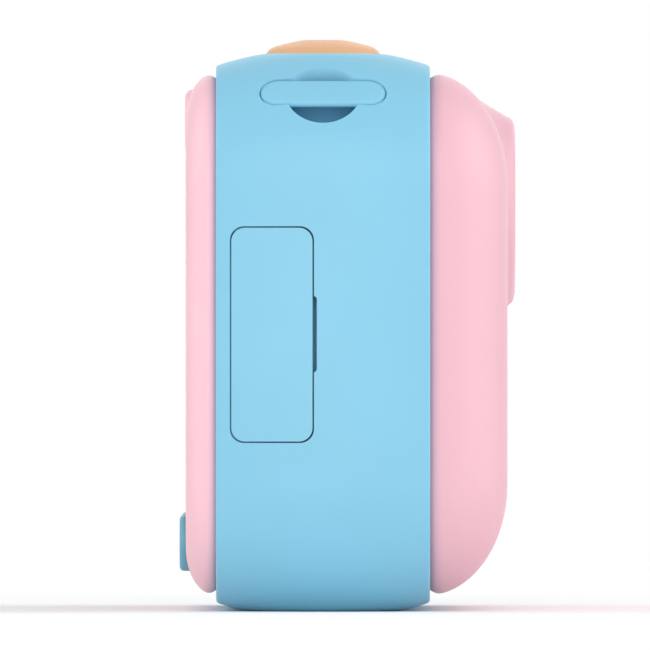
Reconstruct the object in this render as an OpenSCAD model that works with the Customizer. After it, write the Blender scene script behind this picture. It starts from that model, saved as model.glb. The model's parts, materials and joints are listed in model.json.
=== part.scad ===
/* [Body] */
// Width across the middle frame
body_w = 86; // [84:1:90]
// Height from the flat base to the flat on top
body_h = 60; // [59.6:0.2:60.4]
// Depth of the middle frame between its two seams
frame_d = 23; // [22.8:0.1:23.2]
// Corner radius of the middle frame seen from the front
corner_r = 15; // [14.6:0.2:15.4]
// Wall thickness of the middle frame
frame_wall = 2; // [1.8:0.1:2.1]
// Wall thickness of the two covers
cover_wall = 1.8; // [1.7:0.1:1.9]

/* [Covers] */
// Depth of the front cover ahead of its seam
front_d = 8.35; // [8.2:0.05:8.5]
// How far the front edge rounding reaches inwards
front_round = 12; // [11.6:0.2:12]
// Depth of the rear cover behind its seam
rear_d = 3.25; // [3.2:0.05:3.3]
// How far the rear edge rounding reaches inwards
rear_round = 5; // [4.8:0.1:5.2]
// How far the covers stand back from the middle frame at the seam
seam_step = 0.78; // [0.6:0.02:0.9]

/* [Lens] */
// Height of the lens axis above the base
lens_z = 43.2; // [43:0.1:43.4]
// How far the lens bump stands in front of the front face
lens_proud = 0.98; // [0.9:0.02:1.1]
// Height of the rear lens axis above the base
selfie_z = 52.8; // [52.7:0.05:52.9]

/* [Controls] */
// Diameter of the shutter button
shutter_dia = 12.3; // [12:0.1:12.4]
// Travel of the shutter button
shutter_travel = 0.6; // [0.4:0.1:0.6]
// Diameter of each rear button
button_dia = 6.05; // [5.8:0.05:6.1]
// How far the rear buttons stand out of the rear face
button_proud = 0.7; // [0.6:0.05:0.8]
// Height of the row of rear buttons above the base
button_z = 7.3; // [7.2:0.05:7.4]
// Distance between neighbouring rear buttons
button_pitch = 12; // [11.8:0.1:12]

/* [Port cover] */
// Width of the port cover along the body's depth
port_w = 8.7; // [8.6:0.05:8.8]
// Height of the port cover
port_h = 22.9; // [22.8:0.05:23]
// Gap round the port cover
port_gap = 0.15; // [0.12:0.01:0.18]

/* [Hidden] */
$fn = 48;
far = 60;

// Depth levels along Y, from the lens in front (-Y) to the rear buttons (+Y)
total_d = lens_proud + front_d + frame_d + rear_d + button_proud;
tip_front = -total_d/2;
face_front = tip_front + lens_proud;
seam_front = face_front + front_d;
seam_rear = seam_front + frame_d;
face_rear = seam_rear + rear_d;
tip_rear = total_d/2;
frame_y = (seam_front + seam_rear)/2;
front_inner = face_front + cover_wall;
rear_inner = face_rear - 1.6;

// The middle frame's crown, which the base and the top cut flat
crown_r = 36.66;
crown_over_top = 0.54;
crown_under_base = 0.94;
frame_trim = 1;
frame_hw = body_w/2;
frame_hh = (body_h + crown_over_top + crown_under_base)/2;
mid_z = (body_h + crown_over_top - crown_under_base)/2;
crown_drop = crown_r - sqrt(crown_r*crown_r - frame_d*frame_d/4);

// The covers' outline at their seams
cover_in = crown_drop + seam_step;
cover_hw = frame_hw - cover_in;
cover_hh = frame_hh - cover_in;
cover_r = corner_r - cover_in;
dome_a = 8.7;
dome_lead = dome_a - front_d;
lip_in = 3.95;
lip_wall = 1.2;

// Case screws in the four corners
screw_x = 31;
screw_z = [10.9, 48.5];
shank_r = 1;
post_r = 2.8;
post_end = seam_rear - 2.6;
well_floor = seam_rear - 1.3;

// Main board
board_t = 1.2;
board_back = seam_rear - 2.1;
board_front = board_back - board_t;
board_w = 73.8;
board_h = 51.2;
board_z = 30;
board_lugs = [[-18, 7.3], [18, 7.3], [-9, 53.2], [18, 53.2]];
lead_sockets = [[27.5, 16], [29.5, 31], [27.5, 40]];

// Screen
screen_z = 30.5;
window_w = 50;
window_h = 37;
window_t = 1;
gasket_t = 0.5;
lcd_w = 51.2;
lcd_h = 36;
lcd_back = rear_inner - gasket_t;
lcd_t = 1.2;

// Shutter
shutter_x = -22;
shutter_apex = body_h + 1.62;
flange_z = body_h - 3;
flange_r = 7.2;
plunger_z = flange_z - 2;
button_steps = [-2, -1, 0, 1, 2];
button_flange_r = 3.5;
shutter_posts = [[6.5, 6.5], [6.5, -6.5]];
shutter_board_z = 52.6;

// Port cover and what is behind it
port_y = frame_y + 5.48;
port_z = 29.75;
port_floor = -frame_hw + 2.2;
well_x = port_floor + 1.2;
pad_x = -frame_hw + 4.4;
hinge_y = port_y + port_w/2 + 0.01;
hinge_x = -(frame_hw - crown_r + sqrt(crown_r*crown_r - pow(hinge_y - frame_y, 2)) + 0.02);
usb_z = 35.9;
card_z = 24.8;

// Strap bars in the upper corners
strap_angle = 47;
pocket_r = 4;
pocket_floor = 9.5;
bar_len = 13.35;
bar_w = 3.7;
bar_base = 13.9;
bar_up = 0.44;

// Camera behind the lens bump
camera_back = -8.4;
bracket_x = 8.5;
flash_x = 20;
flash_z = 41;
speaker_z = 22.5;
speaker_r = 10;
speaker_front = front_inner + 0.15;

blue = [0.59, 0.84, 0.95];
pink = [0.98, 0.81, 0.86];
orange = [0.94, 0.72, 0.55];
black = [0.12, 0.12, 0.13];
steel = [0.75, 0.76, 0.78];
board_green = [0.10, 0.38, 0.24];

// Inset of the crown at depth y, for an arc of radius r that stands w inside the outer one
function crown_in(y, r, w) = r - sqrt(r*r - y*y) + w;

// [depth, inset] steps of a crown
function crown(n, d, r, w) = [for (i = [0:n]) let (y = -d/2 + d*i/n) [frame_y + y, crown_in(y, r, w)]];

// [depth, inset] steps of a quarter ellipse from y0 towards dir, starting at the angle a0
function dome(n, y0, dir, a, b, a0) = [
    for (i = [0:n]) let (t = a0 + (90 - a0)*i/n) [y0 + dir*a*(sin(t) - sin(a0)), b*(1 - cos(t))]
];

// A straight start of a dome, so that a hollow is open at its seam
function open_end(y, pts) = concat([[y, 0]], pts);

module rounded(w, h, r) {
    square([w - 2*r, h], center = true);
    square([w, h - 2*r], center = true);
    for (x = [-1, 1], y = [-1, 1]) translate([x*(w/2 - r), y*(h/2 - r)]) circle(r);
}

// A plate across the depth, with its outline in the XZ plane
module plate(w, h, r, y0, y1, x, z) {
    translate([x, y1, z]) rotate([90, 0, 0]) linear_extrude(y1 - y0) rounded(w, h, r);
}

// A box between two depths
module block(w, h, y0, y1, x, z) {
    translate([x - w/2, y0, z - h/2]) cube([w, y1 - y0, h]);
}

// A rod along the depth
module rod(r, y0, y1, x, z) {
    translate([x, y0, z]) rotate([-90, 0, 0]) cylinder(r = r, h = y1 - y0);
}

// A solid round an axis along the depth, from [radius, depth] points
module turned(pts, x, z) {
    translate([x, 0, z]) rotate([-90, 0, 0]) rotate_extrude() polygon(pts);
}

// A solid whose rounded rectangular outline steps in by pts[i][1] at the depth pts[i][0]
module swept(hw, hh, r, pts) {
    n = len(pts) - 1;
    up = [for (p = pts) [p[0], hh - p[1]]];
    down = [for (i = [n:-1:0]) [pts[i][0], pts[i][1] - hh]];
    right = [for (p = pts) [hw - p[1], p[0]]];
    left = [for (i = [n:-1:0]) [pts[i][1] - hw, pts[i][0]]];
    quarter = concat([[0, pts[0][0]]], [for (p = pts) [r - p[1], p[0]]], [[0, pts[n][0]]]);
    translate([0, 0, mid_z]) {
        rotate([90, 0, 90]) translate([0, 0, r - hw])
            linear_extrude(2*(hw - r)) polygon(concat(up, down));
        translate([0, 0, r - hh]) linear_extrude(2*(hh - r)) polygon(concat(right, left));
        for (a = [0:3])
            translate([(a == 0 || a == 3 ? 1 : -1)*(hw - r), 0, (a < 2 ? -1 : 1)*(hh - r)])
                rotate([-90, 0, 0]) rotate([0, 0, 90*a]) rotate_extrude(angle = 90) polygon(quarter);
    }
}

// Local frame of an upper corner: +Z points out of it and Y runs along the depth
module at_corner(side) {
    translate([side*(frame_hw - corner_r), frame_y, mid_z + frame_hh - corner_r])
        rotate([0, side*strap_angle, 0]) children();
}

// A stadium along Y, of total length len and width w, from z0 to z1
module stadium(len, w, z0, z1) {
    translate([0, 0, z0]) linear_extrude(z1 - z0) {
        square([w, len - w], center = true);
        for (y = [-1, 1]) translate([0, y*(len - w)/2]) circle(w/2);
    }
}

// The same thing at each of the four case screws
module at_screws() {
    for (x = [-screw_x, screw_x], z = screw_z) translate([x, 0, z]) children();
}

// A round wire through points, swept as one tube
function unit(v) = v/norm(v);
function bow(p, i, t) = let (
    a = p[max(i - 1, 0)], b = p[i], c = p[i + 1], d = p[min(i + 2, len(p) - 1)]
) b + t*(c - a)/2 + t*t*(2*a - 5*b + 4*c - d)/2 + t*t*t*(3*b - a - 3*c + d)/2;
function smooth(p, k) = concat([for (i = [0:len(p) - 2], j = [0:k - 1]) bow(p, i, j/k)], [p[len(p) - 1]]);
module wire(points, r) {
    sides = 8;
    path = smooth(points, 4);
    last = len(path) - 1;
    side_hint = [1, 0.3, 0];
    rings = [
        for (i = [0:last]) let (
            t = unit(path[min(i + 1, last)] - path[max(i - 1, 0)]),
            u = unit(cross(t, side_hint)),
            v = cross(t, u)
        ) for (s = [0:sides - 1]) path[i] + r*(cos(360*s/sides)*u + sin(360*s/sides)*v)
    ];
    walls = [
        for (i = [0:last - 1], s = [0:sides - 1]) let (a = i*sides + s, b = i*sides + (s + 1)%sides)
            [a, a + sides, b + sides, b]
    ];
    ends = [[for (s = [0:sides - 1]) s], [for (s = [sides - 1:-1:0]) last*sides + s]];
    polyhedron(points = rings, faces = concat(walls, ends), convexity = 4);
}

// Outer body of the middle frame with its flat base and top
module frame_body() {
    intersection() {
        swept(frame_hw, frame_hh, corner_r, crown(8, frame_d, crown_r, 0));
        translate([-far, -far, 0]) cube([2*far, 2*far, body_h]);
    }
}

module frame_hollow() {
    swept(frame_hw - frame_wall, frame_hh - frame_wall, corner_r - frame_wall,
        crown(4, frame_d + 0.4, crown_r - frame_wall, 0));
}

// Lugs and posts that grow out of the middle frame's wall, from within its thickness
module frame_features() {
    for (side = [-1, 1]) at_corner(side) {
        translate([0, 0, pocket_floor - 1.2]) rotate([0, 0, 90]) cylinder(r = pocket_r + 1.3, h = 7);
        translate([-side*bar_up, 0, 0]) stadium(bar_len + 3, bar_w + 2.7, bar_base - 1.5, bar_base + 2);
    }
    translate([-frame_hw + 1, frame_y + 0.2, port_z - 12.6]) cube([3.4, 10.8, 25.2]);
    for (p = board_lugs) {
        rod(2.4, board_front - 3.5, board_front, p[0], p[1]);
        wall_z = p[1] < mid_z ? 1 : p[1];
        translate([p[0] - 1.2, board_front - 3.5, wall_z]) cube([2.4, 3.5, p[1] < mid_z ? p[1] - 1 : 6]);
    }
    for (p = shutter_posts)
        translate([shutter_x + p[0], frame_y + p[1], shutter_board_z + 1]) cylinder(r = 1.8, h = 6);
    translate([shutter_x - 6.5, frame_y - 6.5, shutter_board_z + 1]) cylinder(r = 1.5, h = 6);
    translate([0, frame_y, 0.5]) cylinder(r = 6, h = 7.7);
}

module middle_frame() color(blue) difference() {
    union() {
        difference() {
            frame_body();
            frame_hollow();
        }
        intersection() {
            frame_features();
            swept(frame_hw - frame_trim, frame_hh - frame_trim, corner_r - frame_trim,
                crown(4, frame_d - 2*frame_trim, crown_r - frame_trim, 0));
        }
    }
    for (side = [-1, 1]) at_corner(side) {
        translate([0, 0, pocket_floor]) rotate([0, 0, 90]) cylinder(r = pocket_r, h = 10);
        translate([-side*bar_up, 0, 0]) stadium(bar_len + 0.3, bar_w + 0.3, bar_base, bar_base + 5);
    }
    // Seat, inner well and slots of the port cover
    translate([port_floor - 5, port_y, port_z]) rotate([90, 0, 90])
        linear_extrude(5) rounded(port_w + 2*port_gap, port_h + 2*port_gap, 1.5);
    translate([well_x - 4, port_y - 0.2, port_z]) rotate([90, 0, 90])
        linear_extrude(4) rounded(6.8, 21.4, 1);
    translate([well_x - 2, board_front - 2.75, usb_z - 4]) cube([6, 2.95, 8]);
    translate([well_x - 2, board_front - 1.3, card_z - 5.8]) cube([6, 1.1, 11.6]);
    translate([port_floor - 1, hinge_y - 0.95, port_z - 3.1]) cube([6, 0.9, 6.2]);
    translate([port_floor - 3, port_y - port_w/2 - 0.47, port_z + 0.05 - 4.1]) cube([3, 0.6, 8.2]);
    // Shutter hole and the level ceiling over its flange
    translate([shutter_x, frame_y, body_h - 4]) cylinder(r = shutter_dia/2 + 0.15, h = 8);
    translate([shutter_x, frame_y, flange_z - 1]) cylinder(r = flange_r + 0.35, h = 2.2);
    for (p = shutter_posts)
        translate([shutter_x + p[0], frame_y + p[1], shutter_board_z]) cylinder(r = 0.7, h = 4);
    for (p = board_lugs) rod(0.7, board_front - 3, board_front + 1, p[0], p[1]);
    translate([0, frame_y, -1]) cylinder(r = 4.2, h = 7.5);
}

// Solid outer shape of the front cover with its lens bump
module front_body() {
    a0 = asin(dome_lead/dome_a);
    swept(cover_hw, cover_hh, cover_r, dome(8, seam_front, -1, dome_a, front_round, a0));
    edge = [for (i = [0:4]) let (t = 90*i/4) [8.4 + 1.65*sin(t), tip_front + 0.6*(1 - cos(t))]];
    turned(concat([[0, tip_front]], edge, [[12.75, tip_front + 5.3], [0, tip_front + 5.3]]), 0, lens_z);
}

// Thin rim inside the middle frame's wall, between two depths
module lip(y0, y1) {
    out = lip_in + lip_wall;
    difference() {
        plate(2*(frame_hw - lip_in), 2*(frame_hh - lip_in), corner_r - lip_in, y0, y1, 0, mid_z);
        plate(2*(frame_hw - out), 2*(frame_hh - out), corner_r - out, y0 - 1, y1 + 1, 0, mid_z);
    }
}

module front_cover() color(pink) difference() {
    union() {
        difference() {
            front_body();
            swept(cover_hw - cover_wall, cover_hh - cover_wall, cover_r - cover_wall, open_end(seam_front + 1,
                dome(5, seam_front, -1, front_d - cover_wall, front_round - cover_wall, 0)));
        }
        // Lip that centres the middle frame
        lip(seam_front - 1.5, seam_front + 1.8);
        at_screws() rod(post_r, front_inner - 0.15, post_end, 0, 0);
        for (x = [-bracket_x, bracket_x]) rod(1.9, front_inner - 0.5, camera_back + 0.6, x, lens_z);
        for (x = [-3, 3]) rod(0.8, front_inner - 0.5, front_inner + 4.2, flash_x + x, flash_z);
        difference() {
            rod(speaker_r + 1.3, front_inner - 0.25, front_inner + 3, 0, speaker_z);
            rod(speaker_r + 0.1, front_inner - 1, front_inner + 4, 0, speaker_z);
        }
    }
    rod(7.95, tip_front - 1, tip_front + 1.3, 0, lens_z);
    rod(6.55, tip_front - 1, tip_front + 1.7, 0, lens_z);
    rod(5.6, tip_front - 1, front_inner + 1, 0, lens_z);
    rod(6.7, front_inner, front_inner + 3, 0, lens_z);
    rod(2.45, face_front - 1, front_inner + 1, flash_x, flash_z);
    rod(0.7, front_inner - 3, front_inner + 1, 0, speaker_z);
    for (k = [1, 2], i = [0:6*k - 1])
        rod(0.7, front_inner - 3, front_inner + 1, 2.7*k*cos(60*i/k), speaker_z + 2.7*k*sin(60*i/k));
    at_screws() rod(shank_r, well_floor - 10, post_end + 1, 0, 0);
    for (x = [-bracket_x, bracket_x]) rod(0.7, camera_back - 3, camera_back + 1, x, lens_z);
}

module rear_cover() color(pink) difference() {
    union() {
        difference() {
            union() {
                swept(cover_hw, cover_hh, cover_r, dome(6, seam_rear, 1, rear_d, rear_round, 0));
                turned([[0, face_rear - 1.2], [3.65, face_rear - 1.2], [3.4, face_rear - 0.3],
                    [3.2, face_rear], [2.8, face_rear + 0.22], [0, face_rear + 0.22]], 0, selfie_z);
            }
            swept(cover_hw - cover_wall, cover_hh - cover_wall, cover_r - cover_wall, open_end(seam_rear - 1,
                dome(4, seam_rear, 1, rear_inner - seam_rear, rear_round - cover_wall, 0)));
        }
        // Lip that centres the middle frame, open beside the port pad
        difference() {
            lip(seam_rear - 1.8, seam_rear + 0.8);
            block(12, 27, seam_rear - 3, seam_rear, -frame_hw + 4, port_z);
        }
        at_screws() rod(3.3, post_end + 0.1, rear_inner + 0.4, 0, 0);
        // Ribs round the display, open on the side of its flexible lead
        difference() {
            block(lcd_w + 2.4, lcd_h + 2.4, lcd_back - 1.8, rear_inner + 0.3, 0, screen_z);
            block(lcd_w + 0.4, lcd_h + 0.4, lcd_back - 3, rear_inner + 1, 0, screen_z);
            block(6, 18, lcd_back - 3, lcd_back + 0.3, lcd_w/2 + 1, screen_z);
        }
    }
    plate(window_w + 0.2, window_h + 0.2, 3, face_rear - window_t - 0.05, face_rear + 1, 0, screen_z);
    plate(42, 32, 1, rear_inner - 1, face_rear, 0, screen_z);
    for (i = button_steps) {
        rod(button_dia/2 + 0.12, rear_inner - 1, face_rear + 1, i*button_pitch, button_z);
        rod(button_flange_r + 0.3, seam_rear - 2, rear_inner, i*button_pitch, button_z);
    }
    rod(2.35, face_rear - 0.8, face_rear + 1, 0, selfie_z);
    rod(1.7, rear_inner - 1, face_rear + 1, 0, selfie_z);
    rod(0.5, rear_inner - 1, face_rear + 1, button_pitch/2, button_z);
    at_screws() {
        rod(2.1, well_floor, face_rear + 1, 0, 0);
        rod(shank_r, post_end - 1, face_rear, 0, 0);
    }
}

// Crowned slab with a thin plug that fills the well behind it
module port_cover() color(blue) difference() {
    union() {
        intersection() {
            translate([port_floor - 3, port_y, port_z]) rotate([90, 0, 90])
                linear_extrude(2.9) rounded(port_w, port_h, 1.5);
            translate([crown_r - frame_hw, frame_y, port_z - port_h])
                cylinder(r = crown_r, h = 2*port_h, $fn = 96);
        }
        translate([port_floor - 0.5, port_y - 0.4, port_z]) rotate([90, 0, 90])
            linear_extrude(1.2) rounded(5.2, 20.6, 1);
    }
    translate([port_floor - 0.1, hinge_y - 1.2, port_z - 3.2]) cube([2, 1.5, 6.4]);
}

module port_cover_tether() color(blue) {
    translate([port_floor - 0.05, hinge_y - 0.9, port_z - 3]) cube([2.5, 0.8, 6]);
    translate([pad_x + 0.8, hinge_y - 0.5, port_z - 3]) cylinder(r = 0.72, h = 6);
}

module strap_bar(side) color(blue) at_corner(side) intersection() {
    translate([-side*bar_up, 0, 0]) stadium(bar_len, bar_w, bar_base, bar_base + 4);
    translate([-far, 0, corner_r + 0.1 - crown_r]) rotate([0, 90, 0])
        cylinder(r = crown_r, h = 2*far, $fn = 96);
    rotate([90, 0, 0]) translate([0, 0, -far]) cylinder(r = corner_r + 0.1, h = 2*far);
}
module strap_bar_left() strap_bar(-1);
module strap_bar_right() strap_bar(1);

module shutter_button() color(orange) translate([shutter_x, frame_y, 0]) rotate_extrude() {
    dome_r = 16.5;
    shoulder_r = shutter_dia/2 - 0.6;
    crown_pts = [
        for (i = [0:5]) let (r = 2 + (shoulder_r - 2)*i/5)
            [r, shutter_apex - dome_r + sqrt(dome_r*dome_r - r*r)]
    ];
    polygon(concat(
        [[0, flange_z - 0.4], [2, flange_z - 0.4], [2, body_h - 0.6], [4.6, body_h - 0.6], [4.6, flange_z]],
        [[flange_r, flange_z], [flange_r, flange_z + 0.9], [shutter_dia/2, flange_z + 0.9]],
        [[shutter_dia/2, body_h + 0.2]],
        [for (i = [5:-1:0]) crown_pts[i]], [[0, shutter_apex - 0.1]]
    ));
}

module shutter_plunger() color(black)
    translate([shutter_x, frame_y, plunger_z]) cylinder(r = 1.6, h = 1.6);

module shutter_switch() color(steel) difference() {
    translate([shutter_x - 3, frame_y - 3, shutter_board_z + 1]) cube([6, 6, 2.1]);
    translate([shutter_x, frame_y, plunger_z - shutter_travel - 0.1]) cylinder(r = 1.7, h = 4);
}

module shutter_board() color(board_green) difference() {
    translate([shutter_x - 8, frame_y - 8.3, shutter_board_z]) cube([16.5, 15, 1]);
    translate([shutter_x + 6.5, frame_y - 6.5, shutter_board_z - 1]) cylinder(r = 0.8, h = 3);
    translate([shutter_x + 6.5, frame_y + 6.5, shutter_board_z - 1]) cylinder(r = 0.8, h = 3);
}

module shutter_flex() color([0.85, 0.55, 0.2]) translate([shutter_x - 3.2, 0, 0]) {
    translate([0, frame_y + 5, shutter_board_z - 0.15]) cube([4.5, 2.55, 0.15]);
    translate([0, frame_y + 7.4, 50.6]) cube([4.5, 0.15, shutter_board_z - 50.6]);
}

// A rear button: cap, flange behind the cover and stem down to its switch
module rear_button(i) color(blue)
    turned([[0, board_back + 1.9], [1.4, board_back + 1.9], [1.4, rear_inner - 1],
        [button_flange_r, rear_inner - 1], [button_flange_r, rear_inner - 0.3],
        [button_dia/2, rear_inner - 0.3], [button_dia/2, tip_rear - 0.5],
        [button_dia/2 - 0.15, tip_rear - 0.15], [button_dia/2 - 0.5, tip_rear], [0, tip_rear]],
        i*button_pitch, button_z);
module menu_button() rear_button(-2);
module left_button() rear_button(-1);
module ok_button() rear_button(0);
module right_button() rear_button(1);
module play_button() rear_button(2);

module rear_plunger(i) color(black) rod(1.2, board_back + 1, board_back + 1.9, i*button_pitch, button_z);
module menu_plunger() rear_plunger(-2);
module left_plunger() rear_plunger(-1);
module ok_plunger() rear_plunger(0);
module right_plunger() rear_plunger(1);
module play_plunger() rear_plunger(2);

module button_switches() color(steel) for (i = button_steps) difference() {
    block(5.2, 5.2, board_back, board_back + 1.5, i*button_pitch, button_z);
    rod(1.3, board_back + 0.5, board_back + 2, i*button_pitch, button_z);
}

module screen_window() color([0.2, 0.22, 0.25])
    plate(window_w, window_h, 2.9, face_rear - window_t - 0.05, face_rear - 0.05, 0, screen_z);

module screen_gasket() color(black) difference() {
    plate(49, 35, 1, lcd_back, rear_inner, 0, screen_z);
    plate(43, 33, 1, lcd_back - 1, rear_inner + 1, 0, screen_z);
}

module lcd_panel() color([0.1, 0.1, 0.12]) block(lcd_w, lcd_h, lcd_back - lcd_t, lcd_back, 0, screen_z);

module lcd_backlight() color("white") difference() {
    block(lcd_w, lcd_h, lcd_back - 2*lcd_t, lcd_back - lcd_t, 0, screen_z);
    for (x = [-18, 18]) block(8, 2, lcd_back - 3*lcd_t, lcd_back - 1.6*lcd_t, x, screen_z + 14);
}

module lcd_flex() color([0.85, 0.55, 0.2]) {
    translate([lcd_w/2, lcd_back - 0.6, screen_z - 8]) cube([4.9, 0.15, 16]);
    translate([lcd_w/2 + 4.75, board_back + 0.6, screen_z - 8])
        cube([0.15, lcd_back - board_back - 1.05, 16]);
    translate([lcd_w/2 + 2.7, board_back + 0.6, screen_z - 8]) cube([2.2, 0.15, 16]);
}

module lens_ring() color(steel) difference() {
    rod(7.9, tip_front + 0.1, tip_front + 1.3, 0, lens_z);
    rod(6.55, tip_front - 1, tip_front + 2, 0, lens_z);
}

module lens_window() color([0.3, 0.35, 0.4]) rod(6.5, tip_front + 0.5, tip_front + 1.7, 0, lens_z);

// Stepped cone that shades the lens
module lens_hood() color(black) turned([[5.5, tip_front + 1.75], [5.5, front_inner], [6.4, front_inner],
    [6.4, front_inner + 0.8], [5.4, front_inner + 2.4], [3.3, front_inner + 2.4], [3.3, front_inner + 1.4],
    [3.9, front_inner + 1.4], [3.9, front_inner + 0.2], [4.5, front_inner + 0.2], [4.5, front_inner - 0.8],
    [5.1, front_inner - 0.8], [5.1, tip_front + 1.75]], 0, lens_z);

module lens_barrel() color(black) turned([[2.2, -15.9], [2.9, -15.9], [3.1, -15.7], [3.1, -9.6], [1.9, -9.6],
    [1.9, -12], [2.2, -12]], 0, lens_z);

// Front and rear lenses, with domed faces
module lens_elements() color([0.5, 0.6, 0.75]) {
    turned([[0, -15.6], [1, -15.52], [1.8, -15.25], [2.2, -15], [2.2, -14.2], [0, -14.2]], 0, lens_z);
    turned([[0, -11.6], [1.9, -11.6], [1.9, -10.6], [1.1, -10.35], [0, -10.25]], 0, lens_z);
}

module camera_housing() color(black) difference() {
    block(8.6, 8.6, -12.3, camera_back, 0, lens_z);
    rod(3.1, -13, -9.2, 0, lens_z);
    block(6.4, 6.4, -9.4, camera_back + 1, 0, lens_z);
}

module image_sensor() color([0.2, 0.3, 0.35]) block(5.2, 5.2, camera_back - 0.7, camera_back, 0, lens_z);

module camera_board() color(board_green) block(10, 10, camera_back, camera_back + 0.6, 0, lens_z);

module camera_flex() color([0.85, 0.55, 0.2]) {
    translate([-3, camera_back, lens_z + 5]) cube([6, 17.9, 0.15]);
    translate([-3, camera_back + 17.75, 45.4]) cube([6, 0.15, lens_z + 5 - 45.4]);
}

module camera_bracket() color(steel) difference() {
    plate(22, 6, 2.2, camera_back + 0.6, camera_back + 1.6, 0, lens_z);
    for (x = [-bracket_x, bracket_x]) rod(0.8, camera_back, camera_back + 3, x, lens_z);
}

module flash_window() color([0.95, 0.95, 0.9]) {
    rod(2.4, face_front + 0.1, front_inner + 0.1, flash_x, flash_z);
    rod(2.4, front_inner + 0.1, front_inner + 0.6, flash_x, flash_z);
}

module flash_board() color("white") difference() {
    block(9, 8, front_inner + 3, front_inner + 3.8, flash_x, flash_z);
    for (x = [-3, 3]) rod(0.85, front_inner + 2, front_inner + 5, flash_x + x, flash_z);
}

module flash_led() color([0.95, 0.9, 0.4]) {
    block(3.5, 2.8, front_inner + 2.2, front_inner + 3, flash_x, flash_z);
}

module flash_leads() color([0.8, 0.1, 0.1]) for (k = [0, 1.2]) {
    wire([[21 + k, front_inner + 4.2, 39], [22 + k, -9, 39], [25 + k, -2, 38.4],
        [28 + k, 5, 37], [28.6 + k, 9, 35.4], [28.6 + k, 9.8, 32.9]], 0.35);
}

module selfie_window() color([0.3, 0.35, 0.4]) rod(2.25, face_rear - 0.78, face_rear + 0.1, 0, selfie_z);

module selfie_barrel() color(black) rod(1.6, board_back + 2.6, rear_inner + 0.7, 0, selfie_z);

module selfie_housing() color(black) difference() {
    block(5.6, 5.1, board_back, board_back + 3, 0, 52.65);
    rod(1.6, board_back + 2.6, board_back + 4, 0, selfie_z);
}

module main_board() color(board_green) difference() {
    plate(board_w, board_h, 10.5, board_front, board_back, 0, board_z);
    at_screws() rod(3.9, board_front - 1, board_back + 1, 0, 0);
    for (p = board_lugs) rod(0.85, board_front - 1, board_back + 1, p[0], p[1]);
}

// Chips and small parts on the front side, the microphone on the rear side
module board_chips() color(black) {
    for (c = [[2, 30, 10, 10, 1], [-8, 38, 6, 8, 0.8], [14, 22, 6, 5, 0.8], [-19, 44, 4, 4, 0.9],
        [-20, 37.5, 4, 4, 1.1], [12, 37, 3.2, 2.5, 0.8]])
        block(c[2], c[3], board_front - c[4], board_front, c[0], c[1]);
    for (i = [0:5]) block(1, 0.5, board_front - 0.5, board_front, -6 + 3*i, 21);
    for (i = [0:4]) block(0.5, 1, board_front - 0.5, board_front, -24, 36 + 2.4*i);
    block(3, 2, board_back, board_back + 1, button_pitch/2, button_z);
}

module board_connectors() color([0.92, 0.9, 0.82]) {
    block(9, 2.2, board_front - 1.4, board_front, 0, 44.3);
    block(6, 2, board_front - 1.1, board_front, shutter_x - 1, 49.6);
    block(2.6, 17, board_back, board_back + 1, lcd_w/2 + 1.4, screen_z);
    for (c = lead_sockets) block(5, 3.2, board_front - 2.3, board_front, c[0], c[1]);
}

// Micro-USB shell, open to the left, with its tongue
module usb_socket() color(steel) translate([-39.5, board_front - 2.6, usb_z - 3.75]) {
    difference() {
        cube([5.6, 2.6, 7.5]);
        translate([-1, 0.3, 0.3]) cube([5.6, 2, 6.9]);
    }
    translate([0.7, 1, 1.9]) cube([4.9, 0.6, 3.7]);
}

module card_socket() color(steel) difference() {
    translate([-38.4, board_front - 1.4, card_z - 6.95]) cube([14.7, 1.4, 13.9]);
    translate([-39, board_front - 1.15, card_z - 5.65]) cube([14.4, 0.9, 11.3]);
}

module battery() color(steel) plate(35, 30, 1.4, board_front - 7, board_front - 2, 3.5, 27);

module battery_pad() color("white") plate(30, 24, 0.6, board_front - 2, board_front - 1.2, 3.5, 27);

module battery_leads() color([0.8, 0.1, 0.1]) for (k = [0, 1.3]) {
    wire([[18 - k, 6.4, 42.3], [18.6 - k, 6.3, 44 + k], [22, 6.6, 45.5 + k],
        [26 + k, 8.2, 44.6 + k], [26.8 + k, 9.6, 41.9]], 0.45);
}

module speaker_basket() color(steel) translate([0, speaker_front, 0])
    turned([[speaker_r, 0], [speaker_r, 2], [6.8, 3.6], [0, 3.6], [0, 3], [6.2, 3], [8.9, 1.6], [8.9, 0]],
        0, speaker_z);

module speaker_cone() color([0.15, 0.15, 0.16])
    translate([0, speaker_front, 0]) turned([[0, 1], [3, 0.7], [3.4, 1.3], [6.6, 0.5], [7.6, 0.1], [8.9, 0.5],
        [8.9, 0.8], [7.6, 0.4], [6.6, 0.8], [3.4, 1.6], [3, 1], [0, 1.3]], 0, speaker_z);

module speaker_magnet() color([0.5, 0.5, 0.52])
    rod(6, speaker_front + 3.6, speaker_front + 5.2, 0, speaker_z);

module speaker_leads() color([0.1, 0.1, 0.1]) for (k = [0, 1.3]) {
    wire([[8, speaker_front + 4.2, 19 + k], [12, -9.6, 18.6 + k], [20, -5, 16 + k],
        [25, 3, 15.4 + k], [26.8, 8.2, 15.4 + k]], 0.35);
}

module case_screws() color(steel) at_screws() {
    rod(1.9, well_floor, well_floor + 1.3, 0, 0);
    rod(shank_r, well_floor - 9.5, well_floor, 0, 0);
}

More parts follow.
